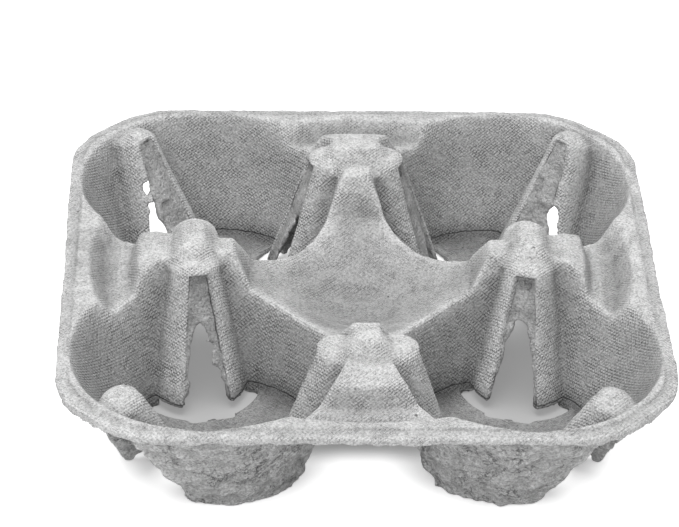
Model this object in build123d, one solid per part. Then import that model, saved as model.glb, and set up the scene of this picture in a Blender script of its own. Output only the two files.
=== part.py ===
from build123d import *
import os
from math import atan2, cos, degrees, hypot, radians, sin, sqrt, tan

# A four-cup carrier moulded from paper pulp in one piece: one thin sheet with a face above and a
# face below. X is to the right, Y to the back, Z up, and the origin is on the ground at the centre.

# Overall sizes
side_length = 215.0
total_height = 57.5
wall = 2.2

# Rim: a clipped and rounded square with an outer flange and a raised land inside it
rim_drop = 12.0
corner_cut = 26.0
corner_round = 30.0
flange_width = 3.8
flange_depth = 3.1
land_step = 0.9

# Cup pockets, one in each quarter: a cone that leans to the corner, and above its waist a wider brow
pocket_inset = 57.5
pocket_floor_radius = 33.5
pocket_rim_margin = 5.0
pocket_rim_shift = 6.6
pocket_foot_shift = 1.5
pocket_waist_radius = 39.0
pocket_waist_drop = 19.5
pocket_brow_radius = 45.6
pocket_brow_drop = 4.5

# Ribs: three leaning cones in each pocket, one in the corner and one on each neighbouring tower
rib_spread = 120.0
rib_foot_radius = 19.3
rib_foot_reach = 36.0
rib_top_radius = 7.6
rib_top_reach = 41.9
rib_drop = 4.5
rib_edge_cut = 2.4
post_top_radius = 6.6
post_top_reach = 49.0
post_drop = 9.0
post_edge_cut = 3.3

# Centre line of a tower, from the dish in the middle out to the channel behind the rim
dish_drop = 32.5
dish_radius = 9.0
crest_drop = 22.3
crest_radius = 31.5
brow_drop = 18.3
brow_radius = 41.0
arm_drop = 5.3
arm_inner_radius = 46.8
arm_outer_inset = 32.5
heel_drop = 8.2
heel_inset = 26.3
heel_foot_inset = 23.5
ledge_drop = 16.5
ledge_inset = 19.5
channel_drop = 18.0
channel_inner_inset = 18.0
channel_outer_inset = 14.0
lip_inset = 8.7

# Knobs on the towers
knob_reach = 11.0
knob_depth = 15.0
knob_length = 24.7
front_knob_length = 16.4
knob_corner = 6.0
knob_taper = 37.0
knob_root = 1.5

# Slots: a recessed window in the front of every rib, torn open below, and a crescent slit at its foot
slot_top_width = 6.0
slot_foot_width = 18.0
slot_recess = 0.9
slot_lean_back = 3.0
slot_round = 2.0
tower_slot_drop = 7.5
tower_hole_height = 34.0
post_slot_drop = 10.5
post_hole_height = 26.0
hole_top_width = 5.5
slit_width = 3.4
slit_inner_radius = 25.3
slit_height = 3.6

# Room that a cutting shape has to spare beyond the sheet
spare = 8.0

half_side = side_length / 2
half_pitch = half_side - pocket_inset
rim_height = total_height - rim_drop
land_height = rim_height + land_step
arm_height = total_height - arm_drop
waist_height = total_height - pocket_waist_drop
brow_height = total_height - pocket_brow_drop
ledge_height = total_height - ledge_drop
channel_height = total_height - channel_drop
ceiling = total_height + spare
quarters = [45.0, 135.0, 225.0, 315.0]
sides = [0.0, 90.0, 180.0, 270.0]
front_side = 270.0
rib_foot = (rib_foot_reach, 0.0, rib_foot_radius)
post_top = (post_top_reach, total_height - post_drop, post_top_radius)
rib_top = (rib_top_reach, total_height - rib_drop, rib_top_radius)
bottom = (Align.CENTER, Align.CENTER, Align.MIN)


def rounded_octagon(inset):
    """The rim's outline, moved in by the inset."""
    half = half_side - inset
    cut = corner_cut - inset * (2 - sqrt(2))
    corners = []
    for turn in range(4):
        for x, y in ((half, half - cut), (half - cut, half)):
            angle = radians(90 * turn)
            corners.append((x * cos(angle) - y * sin(angle), x * sin(angle) + y * cos(angle)))
    outline = Polygon(*corners, align=None)
    return fillet(outline.vertices(), corner_round - inset)


def turned(points, inset):
    """The profile of a space, as radius and height, widened by the inset and spun round the Z axis."""
    top = max(height for radius, height in points)
    closed = [(-half_side, points[0][1]), *points, (-half_side, top)]
    outline = Polygon(*closed, align=None)
    if inset:
        outline = offset(outline, amount=inset, kind=Kind.INTERSECTION)
    right_half = Pos(half_side * 2, 0) * Rectangle(half_side * 4, half_side * 4)
    return revolve(Plane.XZ * (outline & right_half), Axis.Z)


def spine_space(inset):
    """All that lies above the centre line of the towers, from the dish to the rim's lip."""
    points = [
        (dish_radius, total_height - dish_drop),
        (crest_radius, total_height - crest_drop),
        (brow_radius, total_height - brow_drop),
        (arm_inner_radius, arm_height),
        (half_side - arm_outer_inset, arm_height),
        (half_side - heel_inset, total_height - heel_drop),
        (half_side - heel_foot_inset, ledge_height),
        (half_side - ledge_inset, ledge_height),
        (half_side - channel_inner_inset, channel_height),
        (half_side - channel_outer_inset, channel_height),
        (half_side - lip_inset, land_height),
        (half_side - lip_inset, ceiling),
    ]
    return turned(points, inset)


def leaning_cone(foot, top, growth, below, above):
    """A cone along a leaning line from foot to top, each given as reach along X, height and radius."""
    run = top[0] - foot[0]
    rise = top[1] - foot[1]
    length = hypot(run, rise)
    taper = (foot[2] - top[2]) / length
    widening = growth * sqrt(1 + taper * taper)
    low = foot[2] + taper * below + widening
    high = top[2] - taper * above + widening
    cone = Pos(0, 0, -below) * Cone(low, high, below + length + above, align=bottom)
    return Pos(foot[0], 0, foot[1]) * Rot(0, degrees(atan2(run, rise)), 0) * cone


def slab(low, high):
    """All that lies between two heights."""
    return Pos(0, 0, low) * Box(half_side * 4, half_side * 4, high - low, align=bottom)


def pocket_space(inset):
    """The room of one cup, with its corner along X: the leaning cone and the brow above its waist."""
    rim_radius = pocket_inset - pocket_rim_margin - pocket_rim_shift / sqrt(2)
    foot = (-pocket_foot_shift, wall, pocket_floor_radius)
    top = (pocket_rim_shift - pocket_foot_shift, land_height, rim_radius)
    cup = leaning_cone(foot, top, inset, spare * 2, spare * 3) & slab(wall - inset, ceiling)
    waist = (0.0, waist_height, pocket_waist_radius)
    brow = (0.0, brow_height, pocket_brow_radius)
    return cup + leaning_cone(waist, brow, inset, 0.0, ceiling - brow_height)


def rib(top, edge_cut, inset):
    """A rib seen from the pocket's centre, along X: a leaning cone whose top edge is cut back."""
    cone = leaning_cone(rib_foot, top, -inset, spare, -inset)
    top_edge = cone.edges().filter_by(GeomType.CIRCLE).sort_by(Axis.Z)[-1]
    cone = chamfer(top_edge, edge_cut - inset * (2 - sqrt(2)))
    return cone & slab(0, ceiling)


def knob(side, inset):
    """The knob on top of a tower, with sides that slope in."""
    lean = tan(radians(knob_taper))
    root = arm_height - wall - knob_root
    top = total_height - inset
    narrowing = inset / cos(radians(knob_taper)) - (arm_height - root) * lean
    length = (front_knob_length if side == front_side else knob_length) - narrowing * 2
    depth = knob_depth - narrowing * 2
    foot = Rectangle(depth, length) if inset else RectangleRounded(depth, length, knob_corner - narrowing)
    body = extrude(foot, top - root, taper=knob_taper)
    return Rot(0, 0, side) * Pos(half_pitch + knob_reach, 0, root) * body


def around(centre_turns, part):
    """Copies of a part that faces along X, one at each turn about each pocket's centre."""
    copies = []
    for quarter in quarters:
        centre = Rot(0, 0, quarter - 45) * Pos(half_pitch, half_pitch, 0)
        copies += [centre * Rot(0, 0, 45 + turn) * part for turn in centre_turns]
    return copies


def face_body(inset):
    """Everything under the upper face, or, with the wall as inset, under the lower face."""
    brim = spare if inset else 0.0
    body = extrude(rounded_octagon(-brim), rim_height - (flange_depth if inset else 0.0))
    body += extrude(rounded_octagon(flange_width + inset), land_height - inset)
    body += Cylinder(half_side - channel_inner_inset, arm_height + spare, align=bottom)
    body -= spine_space(inset)
    body -= around([0], pocket_space(inset))
    posts = around([0], rib(post_top, post_edge_cut, inset))
    ribs = around([rib_spread, -rib_spread], rib(rib_top, rib_edge_cut, inset))
    knobs = [knob(side, inset) for side in sides]
    return body + [*posts, *ribs, *knobs]


def slot_bar(top_width, height, reach):
    """The room of one slot up to a height, narrower at the top, as a bar along the rib's direction."""
    foot_half = slot_foot_width / 2
    top_half = top_width / 2
    outline = Polygon((-foot_half, 0), (foot_half, 0), (top_half, height), (-top_half, height), align=None)
    outline = fillet(outline.vertices().group_by(Axis.Y)[-1], slot_round)
    near = rib_foot_reach - rib_foot_radius - spare / 2
    return Pos(near, 0, 0) * extrude(Plane.YZ * outline, reach - slot_lean_back - near)


def slot(top, height, hole_height):
    """What one slot takes away: a shallow recess, the torn hole in its lower part and the foot slit."""
    front = leaning_cone(rib_foot, top, slot_recess, spare, 0.0)
    front -= leaning_cone(rib_foot, top, -slot_recess, spare, spare)
    recess = slot_bar(slot_top_width, height, top[0]) & front
    hole = slot_bar(hole_top_width, hole_height, top[0])
    slit = Pos(rib_foot_reach, 0, 0) * Cylinder(rib_foot_radius + slit_width, slit_height * 2)
    inner_reach = rib_foot_reach - rib_foot_radius + slit_inner_radius
    slit -= Pos(inner_reach, 0, 0) * Cylinder(slit_inner_radius, slit_height * 3)
    return recess + hole + slit


sheet = face_body(0.0) - face_body(wall)
sheet -= around([0], slot(post_top, total_height - post_slot_drop, post_hole_height))
sheet -= around([rib_spread, -rib_spread], slot(rib_top, total_height - tower_slot_drop, tower_hole_height))

os.makedirs("parts", exist_ok=True)
export_step(sheet, "parts/cup_carrier.step")
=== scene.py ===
from math import atan2, cos, pi, radians, sin, sqrt

import bmesh
import bpy
import numpy as np
from mathutils import Matrix, Vector, noise
from mathutils.bvhtree import BVHTree


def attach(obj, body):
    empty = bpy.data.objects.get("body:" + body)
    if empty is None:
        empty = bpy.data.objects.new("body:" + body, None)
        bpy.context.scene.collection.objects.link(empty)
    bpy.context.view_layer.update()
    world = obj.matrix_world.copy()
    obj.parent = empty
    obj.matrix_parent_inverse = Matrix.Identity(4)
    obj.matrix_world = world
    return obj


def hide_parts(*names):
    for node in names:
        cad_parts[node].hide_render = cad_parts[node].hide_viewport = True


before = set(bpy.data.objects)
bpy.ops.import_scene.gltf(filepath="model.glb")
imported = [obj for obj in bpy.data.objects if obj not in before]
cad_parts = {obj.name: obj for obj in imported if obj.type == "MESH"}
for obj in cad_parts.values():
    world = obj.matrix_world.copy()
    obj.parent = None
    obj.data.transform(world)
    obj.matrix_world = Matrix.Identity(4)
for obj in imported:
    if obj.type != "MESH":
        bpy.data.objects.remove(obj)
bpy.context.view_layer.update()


# The moulded sheet
# One sheet of grey paper pulp, sucked onto a wire-screened mould and dried. Its solid is copied with its
# loose triangles merged, so that the slits can be cut in it and the torn panels can grow into it.
merge_reach = 0.000001
sheet = bmesh.new()
sheet.from_mesh(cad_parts["cup_carrier"].data)
bmesh.ops.remove_doubles(sheet, verts=sheet.verts, dist=merge_reach)


# The crescent slits
# The felt is parted in a crescent at the foot of each rib, and in the two back posts it tore on into the
# rib's flank. A tear's rows are a height and its right and left side as the cup sees them, in millimetres.
pocket_place = 0.050
quarter_turns = (45, 135, 225, 315)
rib_spread = 120
rib_foot = (0.0360, 0.0193)
slit_radii = (0.0160, 0.0229)
slit_half_turn = 65
slit_steps = 16
slit_end_round = 0.0018
slit_end_steps = 3
slit_end_near = 0.01
slit_top = 0.0030
post_rib = (0.0490, 0.0066, 0.0485)
tear_size = 0.0022
tear_bite = 0.0006
tear_cell = 0.0009
tear_sides = (0.0, 0.01)
tear_before = 0.002
tear_through = 0.012
left_post_tear = ((1, -1.0, 13.0), (14.2, 3.3, 10.6), (18.8, 5.0, 9.8), (23, 5.5, 8.6), (27.8, 5.2, 6.6))
left_post_nick = ((29.0, 5.5, 6.5), (31, 4.7, 7.2), (33, 4.2, 6.8), (34.6, 5.2, 6.0))
right_post_tear = ((1, -12, -4), (15.2, -10.5, -7.0), (18, -9.8, -5.8), (22, -8.6, -3.6), (24, -8, -4.6),
                   (26.4, -7.0, -6.0))


def rib_place(quarter, turn):
    """Where a rib stands: X across its front to the right, Y out from the pocket's centre."""
    centre = Vector((cos(radians(quarter)), sin(radians(quarter)), 0)) * pocket_place * sqrt(2)
    return Matrix.Translation(centre) @ Matrix.Rotation(radians(quarter + turn - 90), 4, "Z")


def slit_punch(place):
    """The room of one crescent slit."""
    punch = bmesh.new()
    low, high = slit_radii
    start = Matrix.Rotation(radians(-slit_half_turn), 4, "Z")
    section = [(-low, -slit_top / 4), (-high, -slit_top / 4), (-high, slit_top), (-low, slit_top)]
    corners = [punch.verts.new(start @ Vector((0, along, height))) for along, height in section]
    punch.faces.new(corners)
    bmesh.ops.spin(punch, geom=punch.faces[:], cent=(0, 0, 0), axis=(0, 0, 1), steps=slit_steps,
                   angle=radians(slit_half_turn * 2))
    ends = []
    for edge in punch.edges:
        first, second = (corner.co for corner in edge.verts)
        off_end = abs(abs(atan2(first.x, -first.y)) - radians(slit_half_turn))
        if abs(first.z - second.z) > slit_top and off_end < slit_end_near:
            ends.append(edge)
    bmesh.ops.bevel(punch, geom=ends, offset=slit_end_round, segments=slit_end_steps, profile=0.5,
                    affect="EDGES", material=-1)
    bmesh.ops.recalc_face_normals(punch, faces=punch.faces[:])
    bmesh.ops.transform(punch, matrix=place @ Matrix.Translation((0, rib_foot[0], 0)), verts=punch.verts[:])
    return punch


def rib_front(rib, height, across, depth):
    """How far out from the pocket's centre a rib's front lies, at a height and a distance off its middle."""
    share = height / rib[2]
    reach = rib_foot[0] + (rib[0] - rib_foot[0]) * share
    radius = rib_foot[1] + (rib[1] - rib_foot[1]) * share - depth
    return reach - np.sqrt(np.maximum(radius ** 2 - across ** 2, 0.0))


def tear_at(outline, height):
    """The two ragged sides of a tear at one height, as distances to the left of the rib's middle."""
    heights, lows, highs = (np.array(row) / 1000 for row in zip(*outline))
    bites = (noise.noise(Vector((side, height, sum(lows))) / tear_size) * tear_bite for side in tear_sides)
    return [np.interp(height, heights, row) + bite for row, bite in zip((lows, highs), bites)]


def tear_punch(place, rib, outline):
    """The room of one tear that runs past its window into the rib's flank."""
    punch = bmesh.new()
    heights = np.arange(outline[0][0] / 1000, outline[-1][0] / 1000, tear_cell)
    sides = [tear_at(outline, height) for height in heights]
    ring = [(side[0], height) for side, height in zip(sides, heights)]
    ring += [(side[1], height) for side, height in zip(sides[::-1], heights[::-1])]
    corners = []
    for across, height in ring:
        start = rib_front(rib, height, 0.0, 0.0) - tear_before
        corners.append(punch.verts.new((-across, start, height)))
    grown = bmesh.ops.extrude_face_region(punch, geom=[punch.faces.new(corners)])
    far_side = [corner for corner in grown["geom"] if isinstance(corner, bmesh.types.BMVert)]
    bmesh.ops.translate(punch, vec=(0, tear_through, 0), verts=far_side)
    bmesh.ops.recalc_face_normals(punch, faces=punch.faces[:])
    bmesh.ops.transform(punch, matrix=place, verts=punch.verts[:])
    return punch


def take_modifiers(piece):
    """Makes what the piece's modifiers show its own mesh."""
    shown = piece.evaluated_get(bpy.context.evaluated_depsgraph_get())
    mesh = bpy.data.meshes.new_from_object(shown)
    piece.modifiers.clear()
    piece.data = mesh


def gather(into, part):
    """Puts one bmesh into another and frees it."""
    carried = bpy.data.meshes.new("carried")
    part.to_mesh(carried)
    part.free()
    into.from_mesh(carried)
    bpy.data.meshes.remove(carried)


carrier = bpy.data.objects.new("pulp_carrier", bpy.data.meshes.new("pulp_carrier"))
bpy.context.scene.collection.objects.link(carrier)
sheet.to_mesh(carrier.data)
sheet.free()
punches = bmesh.new()
for quarter in quarter_turns:
    for turn in (0, rib_spread, -rib_spread):
        gather(punches, slit_punch(rib_place(quarter, turn)))
for quarter, outline in ((135, left_post_tear), (135, left_post_nick), (45, right_post_tear)):
    gather(punches, tear_punch(rib_place(quarter, 0), post_rib, outline))
punch = bpy.data.objects.new("slit_punch", bpy.data.meshes.new("slit_punch"))
bpy.context.scene.collection.objects.link(punch)
punches.to_mesh(punch.data)
punches.free()
parted = carrier.modifiers.new("parted", "BOOLEAN")
parted.operation = "DIFFERENCE"
parted.solver = "EXACT"
parted.use_self = True
parted.object = punch
take_modifiers(carrier)
bpy.data.objects.remove(punch)


# The torn windows
# Each rib's front is set back and thin, and it tore as the carrier came off the mould. What is left of
# the thin panel hangs round the hole. The holes that face the camera have an outline of their own, in
# rows like a tear's, and the others share two.
tower_rib = (0.0419, 0.0076, 0.0530)
window_foot_half = 0.0090
window_top_half = 0.0030
hole_top_half = 0.00275
tower_window = (0.0500, 0.0340)
post_window = (0.0470, 0.0260)
panel_depth = 0.0009
panel_thickness = 0.0013
panel_margin = 0.0012
panel_cell = 0.0006

whole_tower = ((0, -8.8, 8.8), (12, -6.4, 6.0), (22, -4.1, 4.6), (29, -2.6, 2.8), (32, -0.6, 0.9))
whole_post = ((0, -8.8, 8.8), (10, -6.2, 5.8), (18, -3.6, 4.2), (24, -1.2, 0.9))
torn_holes = {
    (225, -120): ((0, -9.2, 8.6), (5, -8.6, 7.4), (10, -6.7, 6.2), (15, -5.6, 6.1), (17.4, -2.6, 6.0),
                  (22.8, -3.4, 5.4), (24.2, -4.6, 5.2), (25.8, -1.0, 5.0), (27.2, -1.9, 4.8),
                  (28, -2.2, 4.6), (33.6, 0.0, 1.2)),
    (315, 120): ((0, -8.2, 8.8), (10, -7.3, 8.0), (20, -5.2, 6.0), (27, -4.0, 4.2), (31, -3.2, 2.9),
                 (33, -3.0, 2.0), (33.8, -1.2, 2.3), (34.5, -2.4, 1.4)),
    (135, -120): ((0, -9.0, 5.0), (15, -7.2, 1.5), (25, -5.5, -2.0), (33, -4.3, -3.2)),
    (45, 120): ((0, -9.0, 3.0), (8, -7.8, -1.0), (15, -6.2, -4.2), (20, -5.4, -5.0)),
    (135, 0): left_post_tear,
    (45, 0): right_post_tear,
}


def hole_at(outline, height, across):
    """Whether a place on the panel is torn away."""
    low, high = tear_at(outline, height)
    return height * 1000 < outline[-1][0] and low < across < high


def torn_panel(quarter, turn):
    """One thin panel with its torn hole, as a closed little sheet."""
    rib, window = (tower_rib, tower_window) if turn else (post_rib, post_window)
    outline = torn_holes.get((quarter, turn), whole_tower if turn else whole_post)
    tall = window[1] + panel_margin * 2 - slit_top
    panel = bmesh.new()
    columns = round(2 * (window_foot_half + panel_margin) / panel_cell)
    bmesh.ops.create_grid(panel, x_segments=columns, y_segments=round(tall / panel_cell), size=1.0)
    for corner in panel.verts:
        height = slit_top + (corner.co.y + 1) / 2 * tall
        half = window_foot_half + (hole_top_half - window_foot_half) * height / window[1] + panel_margin
        corner.co = (corner.co.x * half, 0.0, height)
    middles = {face: face.calc_center_median() for face in panel.faces}
    gone = [face for face, middle in middles.items() if hole_at(outline, middle.z, middle.x)]
    bmesh.ops.delete(panel, geom=gone, context="FACES")
    for corner in panel.verts:
        corner.co.y = rib_front(rib, corner.co.z, corner.co.x, panel_depth)
    panel.normal_update()
    bmesh.ops.solidify(panel, geom=panel.faces[:], thickness=panel_thickness)
    bmesh.ops.recalc_face_normals(panel, faces=panel.faces[:])
    turned = rib_place(quarter, turn) @ Matrix.Diagonal((-1, 1, 1, 1))
    bmesh.ops.transform(panel, matrix=turned, verts=panel.verts[:])
    bmesh.ops.recalc_face_normals(panel, faces=panel.faces[:])
    return panel


sheet = bmesh.new()
sheet.from_mesh(carrier.data)
for quarter in quarter_turns:
    for turn in (0, rib_spread, -rib_spread):
        gather(sheet, torn_panel(quarter, turn))
sheet.to_mesh(carrier.data)
sheet.free()


# One felt
# Sheet and panels are one felt of fibres. Both are made anew as one closed skin of even little faces,
# small enough for the folds to soften and for the surface to pucker.
skin_size = 0.0008
even = carrier.modifiers.new("even_skin", "REMESH")
even.mode = "VOXEL"
even.voxel_size = skin_size
take_modifiers(carrier)


# Soft folds
# The wet felt bridges the mould's corners, so its folds have soft radii. The rim's trimmed edge, the
# window frames and the crescent slits stay crisp.
rim_half = 0.1075
rim_corner = 0.189
rim_round = 0.030
edge_keep = 0.0035
frame_reach = 0.0020
window_near = 0.0045
window_far = 0.0060
slit_keep = 0.0050
window_firmness = 0.9
edge_firmness = 0.6
fold_passes = 14
fold_pull = 0.5


def places(mesh):
    """The places of a mesh's vertices, one row each."""
    flat = np.empty(len(mesh.vertices) * 3, np.float32)
    mesh.vertices.foreach_get("co", flat)
    return flat.reshape(-1, 3).astype(float)


def ease(value, low, high):
    """0 below low, 1 above high, and a smooth rise between."""
    share = np.clip((value - low) / (high - low), 0, 1)
    return share * share * (3 - 2 * share)


def inside_edge(where):
    """How far each place lies inside the rim's outline, a clipped square with rounded corners."""
    along = np.abs(where[:, :2])
    side = rim_round - (rim_half - along.max(axis=1))
    corner = rim_round - (rim_corner - along.sum(axis=1)) / sqrt(2)
    slant = sqrt(0.5)
    rounded = np.sqrt(np.maximum(side ** 2 + corner ** 2 - 2 * side * corner * slant, 0)) / slant
    between = (corner > side * slant) & (side > corner * slant)
    return rim_round - np.where(between, rounded, np.maximum(side, corner))


def window_place(where):
    """How far each place is from the nearest window's outline, below 0 inside it, and the way in."""
    far = np.full(len(where), window_far)
    inward = np.zeros((len(where), 3))
    for quarter in quarter_turns:
        centre = np.array([cos(radians(quarter)), sin(radians(quarter))]) * pocket_place * sqrt(2)
        for turn in (0, rib_spread, -rib_spread):
            rib, window = (tower_rib, tower_window) if turn else (post_rib, post_window)
            way = np.array([cos(radians(quarter + turn)), sin(radians(quarter + turn))])
            along = (where[:, :2] - centre) @ way
            across = np.abs((where[:, :2] - centre) @ np.array([-way[1], way[0]]))
            half = window_foot_half + (window_top_half - window_foot_half) * where[:, 2] / window[0]
            front = rib_front(rib, np.clip(where[:, 2], 0, window[0]), np.minimum(across, half), 0.0)
            near = (np.abs(along - front) < window_near) & (along > 0)
            here = np.where(near, np.maximum(across - half, where[:, 2] - window[0]), window_far)
            inward[here < far, :2] = way
            far = np.minimum(far, here)
    return far, inward


where = places(carrier.data)
from_edge = inside_edge(where)
crisp_frame = (1 - ease(window_place(where)[0], 0, frame_reach)) * window_firmness
crisp_rim = (1 - ease(from_edge, 0, edge_keep)) * edge_firmness
crisp_slit = (1 - ease(where[:, 2], slit_keep / 2, slit_keep)) * edge_firmness
crisp = np.maximum(np.maximum(crisp_frame, crisp_rim), crisp_slit)
soften = carrier.vertex_groups.new(name="soft_folds")
for index, weight in enumerate(1 - crisp):
    soften.add([index], float(weight), "REPLACE")
folds = carrier.modifiers.new("soft_folds", "SMOOTH")
folds.factor = fold_pull
folds.iterations = fold_passes
folds.vertex_group = "soft_folds"
take_modifiers(carrier)
carrier.vertex_groups.clear()


# Puckers, lumps and ragged edges
# The face that lay on the screen is even. The other face dried free, and it is crumpled like felt. The
# towers at the back dried a little taller than those in front, and no edge is quite straight.
tower_lean = 0.0010
tower_place = 0.061
tilt_most = 1.2
tower_span = (0.030, 0.050)
rim_span = (0.006, 0.016)
lump_size = 0.0062
lump_octaves = 2
lump_depth = 0.00105
nap_size = 0.0021
nap_depth = 0.00038
screen_lump_depth = 0.00008
bow_size = 0.060
bow_depth = 0.0008
edge_reach = 0.0045
edge_wave_size = 0.0070
edge_wave_depth = 0.00040
edge_nap_depth = 0.00022
edge_least = 0.01
groove_place = 0.0041
groove_half = 0.0007
groove_depth = 0.0004
level_span = (0.3, 0.8)
window_step = 0.0009
window_step_reach = 0.0009
panel_nap = 0.5
ray_lift = 0.0004
drift_places = ((3.1, 17.7, 8.3), (41.9, 5.3, 27.1), (12.7, 33.9, 61.3))
sky = Vector((0, 0, 1))


def directions(mesh):
    """The outward direction at each of a mesh's vertices."""
    flat = np.empty(len(mesh.vertices) * 3, np.float32)
    mesh.vertex_normals.foreach_get("vector", flat)
    return flat.reshape(-1, 3).astype(float)


def sees_sky(piece, points, normals):
    """1 for each point on the face that looks up out of the mould, 0 on the hollow underside."""
    tree = BVHTree.FromObject(piece, bpy.context.evaluated_depsgraph_get())
    seen = np.empty(len(points))
    for index, (point, normal) in enumerate(zip(points, normals)):
        start = Vector(point + normal * ray_lift)
        seen[index] = 0.0 if tree.ray_cast(start, sky)[0] else 1.0
    return seen


def drift(point):
    """A smooth sideways wander of the felt, the same in every run."""
    return Vector([noise.noise(point + Vector(place)) for place in drift_places])


where = places(carrier.data)
out = directions(carrier.data)
upper = sees_sky(carrier, where, out)
from_edge = inside_edge(where)
edge = 1 - ease(from_edge, 0, edge_reach)
from_window, inward = window_place(where)
window = 1 - ease(from_window, 0, window_step_reach)
moved = where + inward * (window * window_step)[:, None]
tilt = np.clip(where[:, 1] / tower_place, -tilt_most, tilt_most) * ease(where[:, 2], *tower_span)
moved[:, 2] += tilt * tower_lean * ease(from_edge, *rim_span)
groove = 1 - ease(np.abs(from_edge - groove_place), 0, groove_half)
moved[:, 2] -= groove * groove_depth * upper * ease(out[:, 2], *level_span)
for index in range(len(where)):
    point = Vector(where[index])
    free = 1 - upper[index] * (1 - window[index] * panel_nap)
    shift = drift(point / bow_size) * bow_depth
    lumps = noise.turbulence(point / lump_size, lump_octaves, False)
    lumps *= screen_lump_depth + free * lump_depth
    nap = noise.noise(point / nap_size) * free * nap_depth
    shift += Vector(out[index]) * (lumps + nap)
    if edge[index] > edge_least:
        shift += drift(point / edge_wave_size) * edge_wave_depth * edge[index]
        shift += drift(point / nap_size) * edge_nap_depth * edge[index]
    moved[index] += np.array(shift)
moved[:, 2] = np.maximum(moved[:, 2], 0.0)
carrier.data.vertices.foreach_set("co", moved.astype(np.float32).ravel())
carrier.data.update()

most_triangles = 192000
triangles = sum(len(face.vertices) - 2 for face in carrier.data.polygons)
if triangles > most_triangles:
    fewer = carrier.modifiers.new("fewer_faces", "DECIMATE")
    fewer.ratio = most_triangles / triangles
    take_modifiers(carrier)
carrier.data.shade_smooth()


# Painted shade and highlight
# Shade is painted into the felt's colour: darker in the grooves, in hollows and on the pocket floors, and a
# painted highlight makes the crests paler. It comes from how open each place lies, how it curves and how low
# it is.
look_ways = 28
look_reach = 0.018
even_passes = 4
curve_passes = 30
full_curve = 0.0005
least_facing = 0.2
shade_when_open = ((0.25, 0.6, 0.95), (0.60, 0.87, 1.00))
hollow_shade = 0.28
shade_by_height = ((0.0028, 0.0042, 0.0090), (0.54, 0.66, 1.0))


def open_share(piece, points, normals):
    """How much of what lies before each point is open, from 0 deep in a groove to 1 on a plain wall."""
    tree = BVHTree.FromObject(piece, bpy.context.evaluated_depsgraph_get())
    golden = pi * (3 - sqrt(5))
    looks = []
    for step in range(look_ways):
        up = 1 - (2 * step + 1) / look_ways
        flat = sqrt(1 - up * up)
        looks.append(Vector((cos(golden * step) * flat, sin(golden * step) * flat, up)))
    facing = normals @ np.array(looks).T
    share = np.empty(len(points))
    for index, (point, normal) in enumerate(zip(points, normals)):
        start = Vector(point + normal * ray_lift)
        weights = seen = 0.0
        for look, weight in zip(looks, facing[index]):
            if weight > least_facing:
                weights += weight
                if not tree.ray_cast(start, look, look_reach)[0]:
                    seen += weight
        share[index] = seen / weights
    return share


def evened(piece, values, passes):
    """The values at a piece's vertices, blended with their neighbours'."""
    ends = np.empty(len(piece.data.edges) * 2, np.int32)
    piece.data.edges.foreach_get("vertices", ends)
    first, second = ends.reshape(-1, 2).T
    near = np.bincount(first, minlength=len(values)) + np.bincount(second, minlength=len(values))
    for _ in range(passes):
        total = np.bincount(first, values[second], len(values))
        total += np.bincount(second, values[first], len(values))
        values = (values + total / near) / 2
    return values


where = places(carrier.data)
out = directions(carrier.data)
smoother = carrier.modifiers.new("smoother", "SMOOTH")
smoother.factor = fold_pull
smoother.iterations = curve_passes
level = places(carrier.evaluated_get(bpy.context.evaluated_depsgraph_get()).data)
carrier.modifiers.clear()
hollow = ((level - where) * out).sum(axis=1) / full_curve
upper = sees_sky(carrier, where, out)
from_window = window_place(where)[0]
openness = evened(carrier, open_share(carrier, where, out), even_passes)
# Painted shade and highlight: darker where little lies open, in hollows and low on the upper face, and paler
# on crests.
shade = np.interp(openness, *shade_when_open)
shade = shade * (1 - hollow_shade * np.clip(evened(carrier, hollow, even_passes), -1, 1))
shade = shade * (1 - upper * (1 - np.interp(where[:, 2], *shade_by_height)))
felt_marks = {
    "screen_face": upper,
    "painted_shade_and_highlight": shade,
    "from_window": from_window,
    "from_edge": inside_edge(where),
}
for name, values in felt_marks.items():
    attribute = carrier.data.attributes.new(name, "FLOAT", "POINT")
    attribute.data.foreach_set("value", values.astype(np.float32))


# The pulp's finish
# Waste newsprint gives a neutral grey felt with pale and dark fibres. The screened face carries the
# print of the wire cloth; the free face is coarser, with fine cracks where it shrank.
# Painted shade and highlight are multiplied into its colour as well.
felt_roughness = 0.92
felt_gloss = 0.15
cloud_noise = (0.030, 3, 0.5)
cloud_tones = ((0.3, 0.52), (0.7, 0.605))
fibre_noise = (0.0009, 3, 0.75)
fibre_tones = ((0.30, 0.50), (0.5, 0.98), (0.70, 1.28))
speck_noise = (0.0030, 2, 0.5)
speck_tones = ((0.215, 0.35), (0.265, 1.0))
mottle_noise = (0.0016, 4, 0.7)
mottle_tones = ((0.36, 0.70), (0.58, 1.06))
crack_noise = (0.0056, 5, 0.6)
crack_tones = ((0.484, 1.0), (0.5, 0.30), (0.516, 1.0))
crack_patch_noise = (0.013, 1, 0.5)
crack_patches = ((0.46, 0.0), (0.58, 1.0))
waver_noise = (0.004, 3, 0.5)
waver_reach = 0.0012
frame_half = 0.00025
frame_line_half = 0.00035
frame_patch_noise = (0.012, 1, 0.5)
frame_patches = ((0.47, 0.0), (0.60, 1.0))
rim_crease_place = 0.0043
rim_crease_half = 0.0010
rim_patch_noise = (0.018, 2, 0.5)
rim_patches = ((0.42, 0.15), (0.62, 0.60))
floor_crease_height = 0.0042
floor_crease_half = 0.0004
panel_shade = 0.14
painted_crease_shade = 0.50
wire_pitch = 0.00115
wire_ways = ((1, 1, 1), (1, -1, 1), (-1, 1, 1), (1, 1, -1))
print_patch_noise = (0.006, 2, 0.5)
print_patches = ((0.35, 0.03), (0.65, 0.20))
grain_noise = (0.0010, 3, 0.7)
free_nap_noise = (0.0022, 3, 0.6)
free_nap_height = 1.6
panel_drop = 1.1
fold_drop = 0.8
crack_drop = 0.7
bump_strength = 0.9
bump_distance = 0.0008


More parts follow.
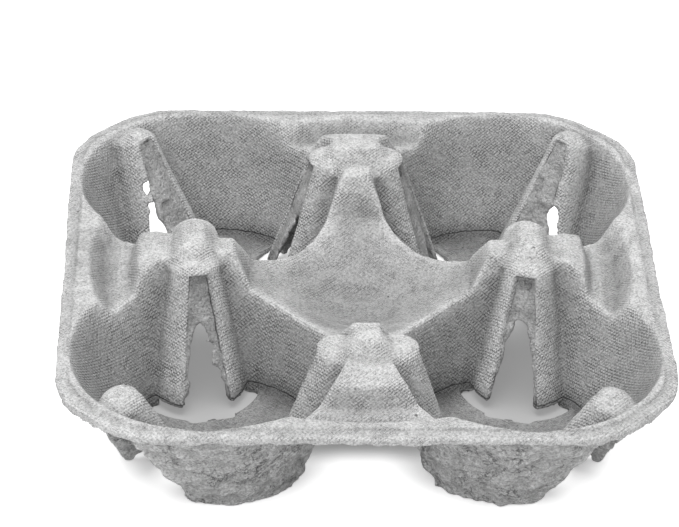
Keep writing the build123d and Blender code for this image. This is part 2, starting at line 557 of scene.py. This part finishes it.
def add_node(tree, kind, **values):
    """A shader node with some of its settings and sockets given."""
    node = tree.nodes.new(kind)
    for key, value in values.items():
        if key in node.inputs:
            node.inputs[key].default_value = value
        else:
            setattr(node, key, value)
    return node


def reckon(tree, kind, *values):
    """One step of arithmetic on numbers and sockets."""
    step = add_node(tree, "ShaderNodeMath", operation=kind)
    for socket, value in zip(step.inputs, values):
        if isinstance(value, (int, float)):
            socket.default_value = value
        else:
            tree.links.new(value, socket)
    return step.outputs["Value"]


def rise(tree, value, low, high):
    """A smooth rise from 0 at low to 1 at high."""
    step = add_node(tree, "ShaderNodeMapRange", interpolation_type="SMOOTHSTEP")
    step.inputs["From Min"].default_value = low
    step.inputs["From Max"].default_value = high
    tree.links.new(value, step.inputs["Value"])
    return step.outputs["Result"]


def paint_pulp():
    """The grey moulded pulp."""
    material = bpy.data.materials.new("grey_pulp")
    material.use_nodes = True
    tree = material.node_tree
    surface = tree.nodes["Principled BSDF"]
    surface.inputs["Roughness"].default_value = felt_roughness
    surface.inputs["Specular IOR Level"].default_value = felt_gloss
    place = add_node(tree, "ShaderNodeTexCoord").outputs["Object"]

    def mark(name):
        return add_node(tree, "ShaderNodeAttribute", attribute_name=name).outputs["Fac"]

    def noise_at(size, detail, rough):
        """A noise through the felt, by its size, detail and roughness."""
        texture = add_node(tree, "ShaderNodeTexNoise", Scale=1 / size, Detail=detail, Roughness=rough)
        tree.links.new(place, texture.inputs["Vector"])
        return texture.outputs["Fac"]

    def ramp(value, stops):
        """The tones that a value stands for, by stops of a value and a tone."""
        band = tree.nodes.new("ShaderNodeValToRGB")
        tree.links.new(value, band.inputs["Fac"])
        steps = band.color_ramp.elements
        for step, (position, tone) in zip(steps, (stops[0], stops[-1])):
            step.position = position
            step.color = (tone, tone, tone, 1)
        for position, tone in stops[1:-1]:
            steps.new(position).color = (tone, tone, tone, 1)
        return band.outputs["Color"]

    def times(first, second):
        return reckon(tree, "MULTIPLY", first, second)

    def plus(first, second):
        return reckon(tree, "ADD", first, second)

    def minus(first, second):
        return reckon(tree, "SUBTRACT", first, second)

    def either(first, second):
        return reckon(tree, "MAXIMUM", first, second)

    def tint(first, second, share=1.0):
        """One colour darkened by another, as far as the share goes."""
        mix = add_node(tree, "ShaderNodeMix", data_type="RGBA", blend_type="MULTIPLY")
        if isinstance(share, (int, float)):
            mix.inputs["Factor"].default_value = share
        else:
            tree.links.new(share, mix.inputs["Factor"])
        for socket, value in ((6, first), (7, second)):
            tree.links.new(value, mix.inputs[socket])
        return mix.outputs[2]

    def line_at(value, middle, half):
        return rise(tree, reckon(tree, "ABSOLUTE", minus(value, middle)), half, 0.0)

    upper = mark("screen_face")
    crumpled = minus(1.0, upper)
    waver = times(minus(noise_at(*waver_noise), 0.5), waver_reach)
    frame_side = plus(mark("from_window"), waver)
    panel = rise(tree, frame_side, frame_half, -frame_half)
    screened = times(upper, minus(1.0, panel))
    free = minus(1.0, screened)
    frame_line = line_at(frame_side, 0.0, frame_line_half)
    frame_line = times(frame_line, ramp(noise_at(*frame_patch_noise), frame_patches))
    rim_line = line_at(plus(mark("from_edge"), waver), rim_crease_place, rim_crease_half)
    rim_crease = times(rim_line, ramp(noise_at(*rim_patch_noise), rim_patches))
    height_up = add_node(tree, "ShaderNodeSeparateXYZ")
    tree.links.new(place, height_up.inputs[0])
    floor_crease = line_at(plus(height_up.outputs["Z"], waver), floor_crease_height, floor_crease_half)
    creases = either(frame_line, times(either(rim_crease, floor_crease), upper))
    cracks = ramp(noise_at(*crack_noise), crack_tones)
    crack_share = times(crumpled, ramp(noise_at(*crack_patch_noise), crack_patches))

    # The painted shade and highlight are multiplied into the grey.
    colour = tint(ramp(noise_at(*cloud_noise), cloud_tones), mark("painted_shade_and_highlight"))
    colour = tint(colour, ramp(noise_at(*fibre_noise), fibre_tones))
    colour = tint(colour, ramp(noise_at(*speck_noise), speck_tones))
    colour = tint(colour, ramp(noise_at(*mottle_noise), mottle_tones), crumpled)
    colour = tint(colour, cracks, crack_share)
    # Painted shade: the recessed panels are darker, and the window frames, the rim's crease and the crease
    # at the rib feet are drawn as dark lines.
    colour = tint(colour, minus(1.0, times(panel, panel_shade)))
    colour = tint(colour, minus(1.0, times(creases, painted_crease_shade)))
    tree.links.new(colour, surface.inputs["Base Color"])

    wires = 0.0
    for way in wire_ways:
        along = add_node(tree, "ShaderNodeVectorMath", operation="DOT_PRODUCT")
        tree.links.new(place, along.inputs[0])
        along.inputs[1].default_value = [part * 2 * pi / wire_pitch / sqrt(2) for part in way]
        wires = plus(reckon(tree, "SINE", along.outputs["Value"]), wires)
    height = times(wires, times(screened, ramp(noise_at(*print_patch_noise), print_patches)))
    height = plus(height, noise_at(*grain_noise))
    height = plus(height, times(noise_at(*free_nap_noise), times(free, free_nap_height)))
    height = minus(height, times(panel, panel_drop))
    height = minus(height, times(creases, fold_drop))
    height = plus(height, times(cracks, times(crack_share, crack_drop)))
    bump = add_node(tree, "ShaderNodeBump", Strength=bump_strength, Distance=bump_distance)
    tree.links.new(height, bump.inputs["Height"])
    tree.links.new(bump.outputs["Normal"], surface.inputs["Normal"])
    return material


carrier.data.materials.clear()
carrier.data.materials.append(paint_pulp())
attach(carrier, "root")
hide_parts("cup_carrier")


# The table top
# A plain white sweep that glows white to the camera round the carrier. Under the carrier and close to its
# feet its colour and glow are turned down, a painted shadow on top of the carrier's own soft shadow.
floor_half = 3.0
floor_white = 0.92
painted_shadow_tone = 0.28
glow_outside = 0.95
painted_shadow_glow = 0.245
under_reach = (0.050, 0.063)
under_sides = 0.024
contact_shadow_reach = (-0.007, 0.013)
foot_radius = 0.0335
floor_mesh = bmesh.new()
bmesh.ops.create_grid(floor_mesh, x_segments=1, y_segments=1, size=floor_half)
floor = bpy.data.objects.new("table_top", bpy.data.meshes.new("table_top"))
floor_mesh.to_mesh(floor.data)
floor_mesh.free()
bpy.context.scene.collection.objects.link(floor)


def paint_sweep():
    """White paper with a painted shadow under the carrier and round its feet."""
    material = bpy.data.materials.new("white_sweep")
    material.use_nodes = True
    tree = material.node_tree
    surface = tree.nodes["Principled BSDF"]
    surface.inputs["Roughness"].default_value = 1.0
    surface.inputs["Specular IOR Level"].default_value = 0.0
    surface.inputs["Emission Color"].default_value = (1, 1, 1, 1)
    spot = add_node(tree, "ShaderNodeSeparateXYZ")
    tree.links.new(add_node(tree, "ShaderNodeTexCoord").outputs["Object"], spot.inputs[0])
    ways = [reckon(tree, "ABSOLUTE", spot.outputs[axis]) for axis in ("X", "Y")]
    farther = reckon(tree, "MAXIMUM", reckon(tree, "SUBTRACT", ways[0], under_sides), ways[1])
    outside = rise(tree, farther, *under_reach)
    parts = []
    for way in ways:
        off_foot = reckon(tree, "ABSOLUTE", reckon(tree, "SUBTRACT", way, pocket_place))
        parts.append(reckon(tree, "POWER", off_foot, 2.0))
    foot_gap = reckon(tree, "SUBTRACT", reckon(tree, "SQRT", reckon(tree, "ADD", *parts)), foot_radius)
    # Painted shadow: the floor's colour and glow drop under the carrier and next to its feet.
    clear = reckon(tree, "MULTIPLY", outside, rise(tree, foot_gap, *contact_shadow_reach))
    white = reckon(tree, "MULTIPLY", outside, floor_white - painted_shadow_tone)
    tree.links.new(reckon(tree, "ADD", white, painted_shadow_tone), surface.inputs["Base Color"])
    glow = reckon(tree, "ADD", reckon(tree, "MULTIPLY", clear, glow_outside - painted_shadow_glow), painted_shadow_glow)
    to_camera = add_node(tree, "ShaderNodeLightPath").outputs["Is Camera Ray"]
    tree.links.new(reckon(tree, "MULTIPLY", to_camera, glow), surface.inputs["Emission Strength"])
    return material


floor.data.materials.append(paint_sweep())


# Studio light
# A wide soft light above the carrier, a second one in front of it, and a bright room.
room_level = 0.38
light_size = 0.9


def soft_light(name, place, power):
    """A square soft light that points at the carrier."""
    lamp = bpy.data.lights.new(name, "AREA")
    lamp.size = light_size
    lamp.energy = power
    holder = bpy.data.objects.new(name, lamp)
    holder.location = place
    holder.rotation_mode = "QUATERNION"
    holder.rotation_quaternion = Vector(place).to_track_quat("Z", "Y")
    bpy.context.scene.collection.objects.link(holder)


soft_light("top_light", (-0.10, 0.10, 1.30), 12.0)
soft_light("front_light", (-0.35, -1.15, 1.00), 6.0)
world = bpy.data.worlds.new("bright_room")
world.use_nodes = True
room_tree = world.node_tree
room = room_tree.nodes["Background"]
room.inputs["Color"].default_value = (1, 1, 1, 1)
to_camera = add_node(room_tree, "ShaderNodeLightPath").outputs["Is Camera Ray"]
room_strength = add_node(room_tree, "ShaderNodeMapRange")
room_strength.inputs["To Min"].default_value = room_level
room_strength.inputs["To Max"].default_value = 1.0
room_tree.links.new(to_camera, room_strength.inputs["Value"])
room_tree.links.new(room_strength.outputs["Result"], room.inputs["Strength"])
bpy.context.scene.world = world
bpy.context.scene.view_settings.view_transform = "Standard"


# The camera
# A long lens from in front and above, a little to the left, leaning slightly as the photograph does.
camera_place = Vector((-0.0471, -0.9393, 0.6673))
camera_aim = Vector((-0.0078, -0.0016, 0.0455))
camera_roll = radians(-1.63)
camera_lens = 164.7
camera = bpy.data.objects.new("camera", bpy.data.cameras.new("camera"))
camera.data.sensor_width = 36
camera.data.lens = camera_lens
camera.data.clip_start = 0.05
camera.data.clip_end = 20
camera.location = camera_place
camera.rotation_mode = "QUATERNION"
view = (camera_place - camera_aim).to_track_quat("Z", "Y")
camera.rotation_quaternion = view @ Matrix.Rotation(-camera_roll, 3, "Z").to_quaternion()
bpy.context.scene.collection.objects.link(camera)
bpy.context.scene.camera = camera
